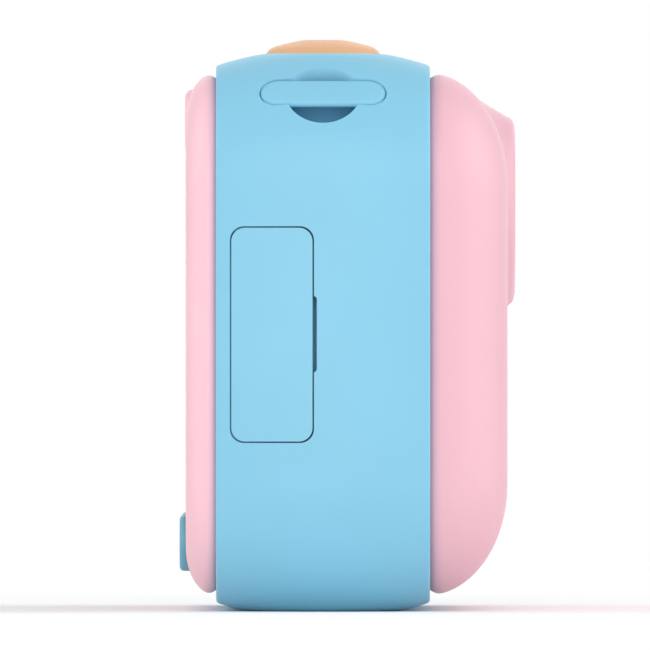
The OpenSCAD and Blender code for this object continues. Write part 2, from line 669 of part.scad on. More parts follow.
// Small self-tapping screws of the main board, the shutter board and the camera bracket
module board_screws() color(steel) {
    for (p = board_lugs) {
        rod(1.6, board_back, board_back + 1, p[0], p[1]);
        rod(0.7, board_front - 2.8, board_back, p[0], p[1]);
    }
    for (x = [-bracket_x, bracket_x]) {
        rod(1.6, camera_back + 1.6, camera_back + 2.6, x, lens_z);
        rod(0.7, camera_back - 2.8, camera_back + 1.6, x, lens_z);
    }
    for (p = shutter_posts) translate([shutter_x + p[0], frame_y + p[1], shutter_board_z - 1]) {
        cylinder(r = 1.5, h = 1);
        cylinder(r = 0.7, h = 4.8);
    }
}

// Threaded brass insert for a tripod screw
module tripod_nut() color([0.8, 0.65, 0.3]) difference() {
    translate([0, frame_y, 0.3]) cylinder(r = 4.2, h = 6.2);
    translate([0, frame_y, -1]) cylinder(r = 3, h = 9);
}

middle_frame();
front_cover();
rear_cover();
port_cover();
port_cover_tether();
strap_bar_left();
strap_bar_right();
shutter_button();
shutter_plunger();
shutter_switch();
shutter_board();
shutter_flex();
menu_button();
left_button();
ok_button();
right_button();
play_button();
menu_plunger();
left_plunger();
ok_plunger();
right_plunger();
play_plunger();
button_switches();
screen_window();
screen_gasket();
lcd_panel();
lcd_backlight();
lcd_flex();
lens_ring();
lens_window();
lens_hood();
lens_barrel();
lens_elements();
camera_housing();
image_sensor();
camera_board();
camera_flex();
camera_bracket();
flash_window();
flash_board();
flash_led();
flash_leads();
selfie_window();
selfie_barrel();
selfie_housing();
main_board();
board_chips();
board_connectors();
usb_socket();
card_socket();
battery();
battery_pad();
battery_leads();
speaker_basket();
speaker_cone();
speaker_magnet();
speaker_leads();
case_screws();
board_screws();
tripod_nut();
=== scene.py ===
"""The finished look of the kids digital camera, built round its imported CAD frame.

Lengths are in millimetres until a mesh is made. Depth runs along Y, with the lens at the low end and
the screen at the high end.
"""
import json
import math

import bmesh
import bpy
import numpy as np
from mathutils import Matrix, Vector
from mathutils.bvhtree import BVHTree
from mathutils.interpolate import poly_3d_calc


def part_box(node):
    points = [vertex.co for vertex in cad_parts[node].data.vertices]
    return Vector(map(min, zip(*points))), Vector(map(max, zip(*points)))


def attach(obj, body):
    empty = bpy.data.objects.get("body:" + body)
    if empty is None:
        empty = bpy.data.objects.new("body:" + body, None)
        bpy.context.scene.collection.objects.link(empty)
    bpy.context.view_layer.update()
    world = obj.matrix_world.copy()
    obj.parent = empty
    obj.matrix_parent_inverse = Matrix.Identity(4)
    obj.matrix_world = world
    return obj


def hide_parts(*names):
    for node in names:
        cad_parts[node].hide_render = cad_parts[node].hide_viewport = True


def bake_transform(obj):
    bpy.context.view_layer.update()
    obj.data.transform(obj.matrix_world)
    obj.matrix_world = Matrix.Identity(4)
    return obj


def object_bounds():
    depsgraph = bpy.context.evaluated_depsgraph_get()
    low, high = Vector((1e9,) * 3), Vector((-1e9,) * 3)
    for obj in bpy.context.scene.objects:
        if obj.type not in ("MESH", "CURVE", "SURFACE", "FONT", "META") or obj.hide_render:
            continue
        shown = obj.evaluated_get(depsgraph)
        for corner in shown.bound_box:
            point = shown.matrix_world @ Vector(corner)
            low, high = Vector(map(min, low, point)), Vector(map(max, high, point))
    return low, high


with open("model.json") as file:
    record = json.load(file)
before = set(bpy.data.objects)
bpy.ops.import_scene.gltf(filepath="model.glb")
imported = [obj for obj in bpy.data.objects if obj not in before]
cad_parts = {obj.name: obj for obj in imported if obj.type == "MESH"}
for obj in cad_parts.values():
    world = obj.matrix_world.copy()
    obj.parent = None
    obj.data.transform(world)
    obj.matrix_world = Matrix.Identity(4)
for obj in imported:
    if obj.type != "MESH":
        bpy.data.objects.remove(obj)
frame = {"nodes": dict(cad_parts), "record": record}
cad_lo, cad_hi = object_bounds()
MM = 0.001


def cad_box_mm(node):
    """A node's lowest and highest corners, in millimetres."""
    lo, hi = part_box(node)
    return lo / MM, hi / MM


# Driving sizes, read from the frame where it has them
frame_lo, frame_hi = cad_box_mm("middle_frame")
front_lo = cad_box_mm("front_cover")[0]
rear_hi = cad_box_mm("rear_cover")[1]
port_lo, port_hi = cad_box_mm("port_cover")
window_lo, window_hi = cad_box_mm("screen_window")
shutter_lo, shutter_hi = cad_box_mm("shutter_button")
ring_lo, ring_hi = cad_box_mm("lens_ring")
body_half_w = frame_hi.x
body_top = frame_hi.z
seam_front, seam_rear = frame_lo.y, frame_hi.y
frame_y = (seam_front + seam_rear) / 2
frame_d = seam_rear - seam_front
crown_r = 36.66
over_top, under_base = 0.54, 0.94
body_half_h = (body_top + over_top + under_base) / 2
mid_z = (body_top + over_top - under_base) / 2
corner_r = 15.0
crown_drop = crown_r - math.sqrt(crown_r**2 - frame_d**2 / 4)
cover_in = crown_drop + 0.78
cover_half_w, cover_half_h = body_half_w - cover_in, body_half_h - cover_in
cover_r = corner_r - cover_in
tip_front = front_lo.y
lens_proud = 0.98
front_d = seam_front - tip_front - lens_proud
front_round = 12.0
dome_a = 8.7
lens_z = (ring_lo.z + ring_hi.z) / 2
selfie_proud = 0.22
face_rear = rear_hi.y - selfie_proud
rear_d = face_rear - seam_rear
rear_round = 5.0
selfie_z = 52.8
button_r = 3.025
button_z = 7.3
button_pitch = 12.0
screw_places = [(x, z) for x in (-31, 31) for z in (10.9, 48.5)]
strap_angle = math.radians(47)
skin = 0.5
skin_overlap = 0.12
past_seam = 30


# ---------------------------------------------------------------- mesh helpers


def finish_mesh(obj, angle=32):
    """Smooth shading, with sharp edges where faces meet at more than angle degrees."""
    mesh = obj.data
    mesh.polygons.foreach_set("use_smooth", [True] * len(mesh.polygons))
    mesh.set_sharp_from_angle(angle=math.radians(angle))
    return obj


def mesh_object(name, verts, faces, angle=32):
    """A new object from vertices in millimetres, with its faces turned outwards."""
    mesh = bpy.data.meshes.new(name)
    mesh.from_pydata((np.asarray(verts, float) * MM).tolist(), [], faces)
    bm = bmesh.new()
    bm.from_mesh(mesh)
    bmesh.ops.recalc_face_normals(bm, faces=bm.faces)
    bm.to_mesh(mesh)
    bm.free()
    obj = bpy.data.objects.new(name, mesh)
    bpy.context.scene.collection.objects.link(obj)
    return finish_mesh(obj, angle)


def lofted(name, rings, angle=32):
    """A closed solid through rings of equal length, capped at both ends."""
    rings = np.asarray(rings, float)
    count, around = rings.shape[:2]
    faces = []
    for i in range(count - 1):
        for j in range(around):
            k = (j + 1) % around
            faces.append((i * around + j, i * around + k, (i + 1) * around + k, (i + 1) * around + j))
    faces.append(tuple(range(around)))
    faces.append(tuple((count - 1) * around + j for j in reversed(range(around))))
    return mesh_object(name, rings.reshape(-1, 3), faces, angle)


def lathe(name, profile, centre, axis="y", steps=96, angle=32):
    """A closed solid turned from (radius, level) points about an axis through centre."""
    rings = []
    for radius, level in profile:
        turn = [2 * math.pi * i / steps for i in range(steps)]
        r = max(radius, 0.004)
        if axis == "y":
            rings.append([(centre[0] + r * math.cos(a), level, centre[1] + r * math.sin(a)) for a in turn])
        else:
            rings.append([(centre[0] + r * math.cos(a), centre[1] + r * math.sin(a), level) for a in turn])
    return lofted(name, rings, angle)


def arc(cx, cy, rx, ry, start, end, steps):
    """Points of an elliptical arc between two angles in degrees."""
    turn = [math.radians(start + (end - start) * i / steps) for i in range(steps + 1)]
    return [(cx + rx * math.cos(a), cy + ry * math.sin(a)) for a in turn]


def rounded_outline(half_w, half_h, r, corner=12):
    """Points round a rounded rectangle about the origin."""
    points = []
    for x, y, start in ((1, 1, 0), (-1, 1, 90), (-1, -1, 180), (1, -1, 270)):
        points += arc(x * (half_w - r), y * (half_h - r), r, r, start, start + 90, corner)
    return points


def prism(name, outline, place, low, high):
    """A straight solid from low to high; place turns (u, v, level) into a point."""
    return lofted(name, [[place(u, v, level) for u, v in outline] for level in (low, high)])


def along_y(x, z):
    return lambda u, v, level: (x + u, level, z + v)


def along_x(y, z):
    return lambda u, v, level: (level, y + u, z + v)


def along_z(x, y):
    return lambda u, v, level: (x + u, y + v, level)


def corner_place(side):
    """Local frame of an upper corner: level runs out of it, u along the depth and v across."""
    cx, cz = side * (body_half_w - corner_r), mid_z + body_half_h - corner_r
    out = (side * math.sin(strap_angle), math.cos(strap_angle))
    across = (math.cos(strap_angle), -side * math.sin(strap_angle))

    def place(u, v, level):
        return (cx + out[0] * level + across[0] * v, frame_y + u, cz + out[1] * level + across[1] * v)

    return place


def disc(r, steps=64):
    return arc(0, 0, r, r, 0, 360 * (steps - 1) / steps, steps - 1)


def boolean(obj, others, operation):
    """obj combined with each of the others, which are used up.

    The quick solver's result is taken if it changed the mesh, and otherwise the exact solver's.
    """
    for other in others:
        for solver in ("MANIFOLD", "EXACT"):
            mod = obj.modifiers.new("combine", "BOOLEAN")
            mod.operation, mod.object, mod.solver = operation, other, solver
            result = bpy.data.meshes.new_from_object(
                obj.evaluated_get(bpy.context.evaluated_depsgraph_get())
            )
            obj.modifiers.clear()
            changed = len(result.vertices) != len(obj.data.vertices)
            if len(result.polygons) > 3 and (changed or solver == "EXACT"):
                obj.data = result
                break
        bpy.data.objects.remove(other)
    return obj


def cad_copy(node):
    """A welded copy of a node's mesh, as a new object."""
    source = frame["nodes"][node]
    bm = bmesh.new()
    bm.from_mesh(source.data)
    bmesh.ops.remove_doubles(bm, verts=bm.verts, dist=1e-6)
    mesh = bpy.data.meshes.new(node + "_copy")
    bm.to_mesh(mesh)
    bm.free()
    obj = bpy.data.objects.new(node + "_copy", mesh)
    bpy.context.scene.collection.objects.link(obj)
    return obj


# ---------------------------------------------------------------- shell surfaces


def soft_min(a, b, k):
    h = np.maximum(k - np.abs(a - b), 0) / k
    return np.minimum(a, b) - h * h * k / 4


def soft_max(a, b, k):
    return -soft_min(-a, -b, k)


def inset_at(x, z, half_w, half_h, r):
    """How far a point lies inside a rounded rectangle."""
    qx, qz = np.abs(x) - (half_w - r), np.abs(z - mid_z) - (half_h - r)
    outside = np.hypot(np.maximum(qx, 0), np.maximum(qz, 0)) + np.minimum(np.maximum(qx, qz), 0)
    return r - outside


def rays_to_inset(angles, centre_z, size, inset):
    """Distances from (0, centre_z) at which rays reach a given inset of the outline."""
    low, high = np.zeros_like(angles), np.full_like(angles, 80.0)
    for _ in range(40):
        mid = (low + high) / 2
        inner = inset_at(mid * np.cos(angles), centre_z + mid * np.sin(angles), *size) > inset
        low, high = np.where(inner, mid, low), np.where(inner, high, mid)
    return low


def reaching(ring, depth):
    """A ring moved along the depth, which carries a solid on past a seam."""
    return ring + np.array([0, depth, 0])


def band_solid(name, shrink=0.0):
    """The crowned body of the middle frame, with its flat base and top and softened seam edges."""
    edge = 0.28
    half_d = frame_d / 2 - shrink
    steps = [half_d * math.sin(math.radians(a)) for a in np.linspace(-90, 90, 49)]
    rings = []
    corners = ((1, 1, 0), (-1, 1, 90), (-1, -1, 180), (1, -1, 270))
    for y in steps:
        rim = max(0.0, edge - (half_d - abs(y)))
        crown = crown_r - math.sqrt(crown_r**2 - y * y)
        inset = crown + shrink + edge - math.sqrt(edge**2 - min(rim, edge) ** 2)
        ring = []
        for k, (sx, sz, start) in enumerate(corners):
            cx, cz = sx * (body_half_w - corner_r), sz * (body_half_h - corner_r)
            bend = arc(cx, cz, corner_r - inset, corner_r - inset, start, start + 90, 36)
            nx, nz, _ = corners[(k + 1) % 4]
            nx, nz = nx * (body_half_w - corner_r), nz * (body_half_h - corner_r)
            run = 60 if k % 2 == 0 else 34
            end = bend[-1]
            ring += bend
            ring += [(end[0] + (nx - cx) * j / run, end[1] + (nz - cz) * j / run) for j in range(1, run)]
        ring = np.array(ring)
        z = soft_min(mid_z + ring[:, 1], np.full(len(ring), body_top - shrink), 0.22)
        z = soft_max(z, np.full(len(ring), shrink), 0.22)
        rings.append(np.stack([ring[:, 0], np.full(len(ring), frame_y + y), z], axis=1))
    if shrink:
        rings = [reaching(rings[0], -past_seam)] + rings + [reaching(rings[-1], past_seam)]
    return lofted(name, rings)


def seam_roll(rise):
    """How far a cover's wall draws in towards its seam, at a height above it."""
    reach, most = 1.4, 0.58
    return most * (1 - min(rise / reach, 1)) ** 2


def cover_ring(angles, centre_z, size, inset, y):
    """Points of a cover at one inset of its outline."""
    rho = rays_to_inset(angles, centre_z, size, inset)
    return np.stack([rho * np.cos(angles), np.full_like(rho, y), centre_z + rho * np.sin(angles)], axis=1)


bump_blend = 1.1


def lens_bump(r, shrink):
    """Height of the lens bump ahead of the seam, at a distance r from its axis."""
    tip = front_d + lens_proud - shrink
    face, rim, drop, slope = 8.4 - shrink, 1.65, 0.6, 0.575
    edge = np.clip((r - face) / rim, 0, 1)
    rounded = tip - drop * (1 - np.sqrt(1 - edge**2))
    return np.where(r < face + rim, rounded, tip - drop - (r - face - rim) / slope)


def front_solid(name, shrink=0.0):
    """The domed body of the front cover, which flows into its lens bump."""
    size = (cover_half_w - shrink, cover_half_h - shrink, cover_r - shrink)
    a, b = dome_a - shrink, front_round - shrink
    angles = np.linspace(0, 2 * math.pi, 440, endpoint=False)
    start = math.asin((dome_a - front_d) / dome_a)
    rings = []
    for t in np.linspace(start, math.radians(27), 24):
        rise = a * (math.sin(t) - math.sin(start))
        inset = b * (1 - math.cos(t))
        rings.append(cover_ring(angles, lens_z, size, inset + seam_roll(rise), seam_front - rise))
    edge, near = rays_to_inset(angles, lens_z, size, inset), 13.0
    reach = [edge + (near - edge) * (i / 40) ** 1.15 for i in range(1, 40)]
    reach += [np.full_like(angles, near - 0.2 * i) for i in range(56)]
    for rho in reach:
        x, z = rho * np.cos(angles), lens_z + rho * np.sin(angles)
        s = np.clip(inset_at(x, z, *size), 0, b)
        dome = a * (np.sqrt(1 - (1 - s / b) ** 2) - math.sin(start))
        height = soft_max(np.minimum(dome, front_d - shrink), lens_bump(rho, shrink), bump_blend)
        rings.append(np.stack([x, seam_front - height, z], axis=1))
    if shrink:
        rings.insert(0, reaching(rings[0], past_seam))
    return lofted(name, rings)


def rear_solid(name, shrink=0.0):
    """The shallow body of the rear cover."""
    size = (cover_half_w - shrink, cover_half_h - shrink, cover_r - shrink)
    a, b = rear_d - shrink, rear_round - shrink
    angles = np.linspace(0, 2 * math.pi, 440, endpoint=False)
    rings = []
    for t in np.linspace(0, math.pi / 2, 33):
        rise = a * math.sin(t)
        inset = b * (1 - math.cos(t)) + seam_roll(rise)
        rings.append(cover_ring(angles, mid_z, size, inset, seam_rear + rise))
    rim = rings[-1]
    for part in (0.96, 0.92, 0.88, 0.84, 0.8, 0.7, 0.55, 0.3, 0.1):
        rings.append(np.stack([rim[:, 0] * part, rim[:, 1], mid_z + (rim[:, 2] - mid_z) * part], axis=1))
    if shrink:
        rings.insert(0, reaching(rings[0], -past_seam))
    return lofted(name, rings)


def skin_normals(obj, skin_source):
    """Gives the faces still lying on a clean skin the smooth normals of that skin."""
    source = skin_source.data
    points = [v.co.copy() for v in source.vertices]
    faces = [tuple(p.vertices) for p in source.polygons]
    corners = [c.vector.copy() for c in source.corner_normals]
    starts = [p.loop_start for p in source.polygons]
    tree = BVHTree.FromPolygons(points, faces)
    on_skin, same_way, most_corners = 0.02 * MM, 0.9, 8
    wanted = [(0, 0, 0)] * len(obj.data.loops)
    for poly in obj.data.polygons:
        _, normal, _, distance = tree.find_nearest(poly.center)
        if distance > on_skin or normal.dot(poly.normal) < same_way:
            continue
        for loop in poly.loop_indices:
            place = obj.data.vertices[obj.data.loops[loop].vertex_index].co.lerp(poly.center, 0.05)
            spot, flat, index, _ = tree.find_nearest(place)
            if len(faces[index]) > most_corners:
                wanted[loop] = flat
                continue
            weights = poly_3d_calc([points[i] for i in faces[index]], spot)
            smooth = Vector()
            for i, weight in enumerate(weights):
                smooth += corners[starts[index] + i] * weight
            wanted[loop] = smooth.normalized()
    obj.data.normals_split_custom_set(wanted)


def shell_piece(name, node, solid, cuts, extras=()):
    """A piece with a fine outer skin over the node's own inner walls and bosses."""
    outer = solid(name)
    if extras:
        boolean(outer, [extra() for extra in extras], "UNION")
    inner = solid(name + "_inner", skin)
    core = boolean(cad_copy(node), [solid(name + "_trim", skin - skin_overlap)], "INTERSECT")
    boolean(outer, [inner], "DIFFERENCE")
    boolean(outer, [core], "UNION")
    boolean(outer, [cut() for cut in cuts], "DIFFERENCE")
    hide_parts(node)
    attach(outer, "root")
    finish_mesh(outer)
    clean = solid(name + "_clean")
    skin_normals(outer, clean)
    bpy.data.objects.remove(clean)
    return outer


# ---------------------------------------------------------------- materials


def new_material(name):
    mat = bpy.data.materials.new(name)
    mat.use_nodes = True
    nodes = mat.node_tree.nodes
    return mat, nodes, mat.node_tree.links, nodes["Principled BSDF"]


def noise(nodes, links, scale, detail=3.0):
    coords = nodes.new("ShaderNodeTexCoord")
    tex = nodes.new("ShaderNodeTexNoise")
    tex.inputs["Scale"].default_value = scale
    tex.inputs["Detail"].default_value = detail
    links.new(coords.outputs["Object"], tex.inputs["Vector"])
    return tex.outputs["Fac"]


def spread(nodes, links, factor, low, high):
    """A factor spread between two values."""
    to = nodes.new("ShaderNodeMapRange")
    to.inputs["From Min"].default_value, to.inputs["From Max"].default_value = 0.3, 0.7
    to.inputs["To Min"].default_value, to.inputs["To Max"].default_value = low, high
    links.new(factor, to.inputs["Value"])
    return to.outputs["Result"]


def mixed(nodes, links, factor, low, high):
    mix = nodes.new("ShaderNodeMix")
    mix.data_type = "RGBA"
    mix.inputs["A"].default_value = (*low, 1)
    mix.inputs["B"].default_value = (*high, 1)
    links.new(factor, mix.inputs["Factor"])
    return mix.outputs["Result"]


def bumped(nodes, links, shader, height, depth, strength=0.6):
    bump = nodes.new("ShaderNodeBump")
    bump.inputs["Strength"].default_value = strength
    bump.inputs["Distance"].default_value = depth
    links.new(height, bump.inputs["Height"])
    links.new(bump.outputs["Normal"], shader.inputs["Normal"])


def surface(
    name, colour, rough=(0.4, 0.5), shade=0.05, grain=2600, depth=0.00001, metallic=0.0, coat=0.0, gloss=0.5
):
    """A moulded or plated finish: slight colour and gloss variation over a fine moulded grain."""
    mat, nodes, links, shader = new_material(name)
    cloud = noise(nodes, links, 90, 2)
    deep = tuple(c * (1 - shade) for c in colour)
    pale = tuple(min(1, c * (1 + shade * 0.4)) for c in colour)
    links.new(mixed(nodes, links, spread(nodes, links, cloud, 0, 1), deep, pale), shader.inputs["Base Color"])
    fine = noise(nodes, links, grain, 4)
    links.new(spread(nodes, links, fine, *rough), shader.inputs["Roughness"])
    bumped(nodes, links, shader, fine, depth)
    shader.inputs["Metallic"].default_value = metallic
    shader.inputs["Coat Weight"].default_value = coat
    shader.inputs["Coat Roughness"].default_value = 0.15
    shader.inputs["Specular IOR Level"].default_value = gloss
    return mat


def brushed(name, colour, rough=(0.22, 0.4), stretch=(60, 60, 4000)):
    """Metal with fine brushing along two axes."""
    mat, nodes, links, shader = new_material(name)
    coords = nodes.new("ShaderNodeTexCoord")
    mapping = nodes.new("ShaderNodeMapping")
    mapping.inputs["Scale"].default_value = stretch
    tex = nodes.new("ShaderNodeTexNoise")
    tex.inputs["Scale"].default_value = 1.0
    tex.inputs["Detail"].default_value = 4
    links.new(coords.outputs["Object"], mapping.inputs["Vector"])
    links.new(mapping.outputs["Vector"], tex.inputs["Vector"])
    factor = tex.outputs["Fac"]
    deep = tuple(c * 0.85 for c in colour)
    links.new(mixed(nodes, links, factor, deep, colour), shader.inputs["Base Color"])
    links.new(spread(nodes, links, factor, *rough), shader.inputs["Roughness"])
    bumped(nodes, links, shader, factor, 0.000008)
    shader.inputs["Metallic"].default_value = 1.0
    return mat


def glass(name, colour, rough=0.03, coat=0.0):
    """Clear or tinted glass with faint streaks in its polish."""
    mat, nodes, links, shader = new_material(name)
    cloud = noise(nodes, links, 200, 2)
    deep = tuple(c * 0.96 for c in colour)
    links.new(mixed(nodes, links, cloud, deep, colour), shader.inputs["Base Color"])
    links.new(spread(nodes, links, cloud, rough, rough + 0.03), shader.inputs["Roughness"])
    shader.inputs["Transmission Weight"].default_value = 0.95
    shader.inputs["IOR"].default_value = 1.49
    shader.inputs["Coat Weight"].default_value = coat
    shader.inputs["Coat Tint"].default_value = (0.85, 0.8, 1.0, 1)
    return mat


def printed_window(name, half_w, half_h, centre_z):
    """Clear acrylic whose border is printed black on its back."""
    mat, nodes, links, shader = new_material(name)
    coords = nodes.new("ShaderNodeTexCoord")
    split = nodes.new("ShaderNodeSeparateXYZ")
    links.new(coords.outputs["Object"], split.inputs["Vector"])

    def outside(socket, centre, limit):
        offset = nodes.new("ShaderNodeMath")
        offset.operation = "SUBTRACT"
        offset.inputs[1].default_value = centre
        links.new(socket, offset.inputs[0])
        size = nodes.new("ShaderNodeMath")
        size.operation = "ABSOLUTE"
        links.new(offset.outputs[0], size.inputs[0])
        past = nodes.new("ShaderNodeMath")
        past.operation = "GREATER_THAN"
        past.inputs[1].default_value = limit
        links.new(size.outputs[0], past.inputs[0])
        return past.outputs[0]

    border = nodes.new("ShaderNodeMath")
    border.operation = "MAXIMUM"
    links.new(outside(split.outputs["X"], 0, half_w * MM), border.inputs[0])
    links.new(outside(split.outputs["Z"], centre_z * MM, half_h * MM), border.inputs[1])
    clear, printed = (0.02, 0.024, 0.032), (0.006, 0.006, 0.007)
    links.new(mixed(nodes, links, border.outputs[0], clear, printed), shader.inputs["Base Color"])
    cloud = noise(nodes, links, 150, 2)
    links.new(spread(nodes, links, cloud, 0.04, 0.09), shader.inputs["Roughness"])
    shader.inputs["Coat Weight"].default_value = 0.5
    return mat


def circuit(name, mask_colour, trace_colour):
    """Solder mask over copper traces, with fine glass weave below."""
    mat, nodes, links, shader = new_material(name)
    coords = nodes.new("ShaderNodeTexCoord")
    mapping = nodes.new("ShaderNodeMapping")
    mapping.inputs["Scale"].default_value = (900, 900, 900)
    cells = nodes.new("ShaderNodeTexVoronoi")
    cells.distance = "CHEBYCHEV"
    cells.feature = "F1"
    links.new(coords.outputs["Object"], mapping.inputs["Vector"])
    links.new(mapping.outputs["Vector"], cells.inputs["Vector"])
    lines = nodes.new("ShaderNodeMath")
    lines.operation = "PINGPONG"
    lines.inputs[1].default_value = 0.22
    links.new(cells.outputs["Distance"], lines.inputs[0])
    step = nodes.new("ShaderNodeMath")
    step.operation = "GREATER_THAN"
    step.inputs[1].default_value = 0.12
    links.new(lines.outputs[0], step.inputs[0])
    links.new(mixed(nodes, links, step.outputs[0], mask_colour, trace_colour), shader.inputs["Base Color"])
    links.new(spread(nodes, links, noise(nodes, links, 4000, 2), 0.25, 0.4), shader.inputs["Roughness"])
    bumped(nodes, links, shader, step.outputs[0], 0.00002)
    shader.inputs["Coat Weight"].default_value = 0.3
    return mat


sky_blue = (0.205, 0.505, 0.675)
# The front cover's pink below is the rear cover's pink made about an eighth darker: painted shade on the same
# pink plastic
blush_painted_shade = (0.730, 0.420, 0.485)
blush_rear = (0.835, 0.500, 0.565)
apricot = (0.725, 0.405, 0.22)
FINISH = {
    "body_blue": surface("body_blue", sky_blue, (0.42, 0.52), 0.02, gloss=0.4),
    "shell_pink": surface("shell_pink", blush_rear, (0.42, 0.52), 0.02, gloss=0.4),
    # A darker copy of the rear pink: painted shade for the front cover
    "shell_pink_painted_shade": surface("shell_pink_painted_shade", blush_painted_shade, (0.42, 0.52), 0.02, gloss=0.4),
    "button_orange": surface("button_orange", apricot, (0.40, 0.50), 0.03, gloss=0.25),
    "button_blue": surface("button_blue", (0.135, 0.38, 0.50), (0.38, 0.48), 0.03, gloss=0.4),
    "tpu_blue": surface("tpu_blue", sky_blue, (0.46, 0.56), 0.02, grain=3400),
    "black_plastic": surface("black_plastic", (0.018, 0.018, 0.02), (0.45, 0.65), 0.3, depth=0.00002),
    "steel": brushed("steel", (0.62, 0.63, 0.65)),
    "lens_glass": glass("lens_glass", (0.86, 0.88, 0.95), coat=1.0),
    "clear_plastic": glass("clear_plastic", (0.93, 0.93, 0.9), rough=0.12),
    "lcd_black": surface("lcd_black", (0.008, 0.009, 0.014), (0.08, 0.14), 0.2, depth=0.000002, coat=0.4),
    "white_plastic": surface("white_plastic", (0.80, 0.80, 0.77), (0.4, 0.55), 0.04),
    "foam_black": surface("foam_black", (0.02, 0.02, 0.02), (0.85, 0.98), 0.4, 1500, 0.00012),
    "pcb_green": circuit("pcb_green", (0.006, 0.085, 0.035), (0.012, 0.15, 0.06)),
    "chip_black": surface("chip_black", (0.016, 0.016, 0.017), (0.5, 0.7), 0.3, 5000, 0.00002),
    "connector_cream": surface("connector_cream", (0.74, 0.68, 0.52), (0.4, 0.55), 0.06),
    "flex_amber": surface("flex_amber", (0.50, 0.20, 0.03), (0.2, 0.35), 0.15, 1800, 0.00001, coat=0.3),
    "battery_silver": surface(
        "battery_silver", (0.66, 0.67, 0.70), (0.25, 0.42), 0.1, 700, 0.00006, metallic=1.0
    ),
    "tape_white": surface("tape_white", (0.78, 0.78, 0.75), (0.8, 0.95), 0.08, 1800, 0.00008),
    "red_wire": surface("red_wire", (0.50, 0.02, 0.02), (0.35, 0.5), 0.15),
    "black_wire": surface("black_wire", (0.02, 0.02, 0.02), (0.35, 0.5), 0.3),
    "led_yellow": surface("led_yellow", (0.82, 0.68, 0.14), (0.2, 0.35), 0.15, 2200, 0.00003, coat=0.6),
    "cone_black": surface("cone_black", (0.02, 0.02, 0.022), (0.3, 0.5), 0.3, 1200, 0.00003),
    "magnet_grey": surface("magnet_grey", (0.30, 0.30, 0.32), (0.25, 0.4), 0.1, metallic=1.0),
    "sensor_blue": surface("sensor_blue", (0.03, 0.07, 0.10), (0.06, 0.12), 0.3, coat=1.0),
    "brass": brushed("brass", (0.72, 0.48, 0.17), stretch=(400, 400, 400)),
}
screen_centre = (window_lo.z + window_hi.z) / 2
FINISH["screen_glass"] = printed_window("screen_glass", 20.8, 15.8, screen_centre)


def dress(obj, slot, look=None):
    """Gives a new piece a single material: the finish named by look, or else the one named by slot."""
    obj.data.materials.clear()
    obj.data.materials.append(FINISH[look or slot])
    return obj


# ---------------------------------------------------------------- the three shells

port_y, port_z = (port_lo.y + port_hi.y) / 2, (port_lo.z + port_hi.z) / 2
port_gap = 0.15
shutter_x, shutter_y = (shutter_lo.x + shutter_hi.x) / 2, (shutter_lo.y + shutter_hi.y) / 2
shutter_r = 6.15
notch_half = 4.1
pocket_r = 4.0
bar_base = 13.9
bar_up = 0.44


def port_mouth():
    half_w, half_h = (port_hi.y - port_lo.y) / 2 + port_gap, (port_hi.z - port_lo.z) / 2 + port_gap
    outline = rounded_outline(half_w + 0.01, half_h + 0.01, 1.5)
    return prism("port_mouth", outline, along_x(port_y, port_z), -body_half_w - 5, -body_half_w + 2.21)


def nail_notch():
    """The finger notch beside the cover's front edge, with rounded outer corners."""
    outline = [(0.5, -notch_half), (0.5, notch_half)] + arc(-0.07, notch_half - 0.4, 0.4, 0.4, 90, 180, 8)
    outline += arc(-0.07, 0.4 - notch_half, 0.4, 0.4, 180, 270, 8)
    place = along_x(port_lo.y, port_z + 0.05)
    return prism("nail_notch", outline, place, -body_half_w - 5, -body_half_w + 1.6)


def pocket(side):
    return prism("pocket", disc(pocket_r + 0.03, 96), corner_place(side), 9.48, 20)


def bar_seat(side):
    outline = [(u, v - side * bar_up) for u, v in rounded_outline(6.84, 2.015, 2.014, 16)]
    return prism("bar_seat", outline, corner_place(side), bar_base - 0.01, 20)


def shutter_hole():
    return prism("shutter_hole", disc(shutter_r + 0.16, 96), along_z(shutter_x, shutter_y), 50, 70)


def tripod_hole():
    return prism("tripod_hole", disc(4.21, 64), along_z(0, frame_y), -5, 5)


band_cuts = [port_mouth, nail_notch, shutter_hole, tripod_hole]
band_cuts += [lambda side=side: pocket(side) for side in (-1, 1)]
band_cuts += [lambda side=side: bar_seat(side) for side in (-1, 1)]
band = shell_piece("middle_frame_shell", "middle_frame", band_solid, band_cuts)
dress(band, "body_blue")


def hole_y(r, x, z, low, high, steps=48):
    return lambda: prism("hole", disc(r, steps), along_y(x, z), low, high)


flash_x, flash_z, speaker_z = 20.0, 41.0, 22.5
front_cuts = [
    hole_y(7.96, 0, lens_z, tip_front - 2, tip_front + 1.31, 128),
    hole_y(2.45, flash_x, flash_z, tip_front - 2, seam_front - 3),
    hole_y(0.7, 0, speaker_z, tip_front - 2, seam_front - 3, 24),
]
for ring_index in (1, 2):
    for i in range(6 * ring_index):
        turn = math.radians(60 * i / ring_index)
        reach = 2.7 * ring_index
        spot = (reach * math.cos(turn), speaker_z + reach * math.sin(turn))
        front_cuts.append(hole_y(0.7, *spot, tip_front - 2, seam_front - 3, 24))
front = shell_piece("front_cover_shell", "front_cover", front_solid, front_cuts)
# The front cover takes the darker copy of its pink: painted shade
dress(front, "shell_pink", "shell_pink_painted_shade")


def selfie_bump():
    profile = [(0, face_rear - 2), (3.65, face_rear - 2), (3.65, face_rear - 0.8)]
    profile += arc(3.25, face_rear - 0.35, 0.25, 0.35, 0, 60, 4)
    profile += arc(2.8, face_rear - 0.13, 0.45, 0.35, 20, 90, 8)
    return lathe("selfie_bump", profile + [(0, face_rear + selfie_proud)], (0, selfie_z))


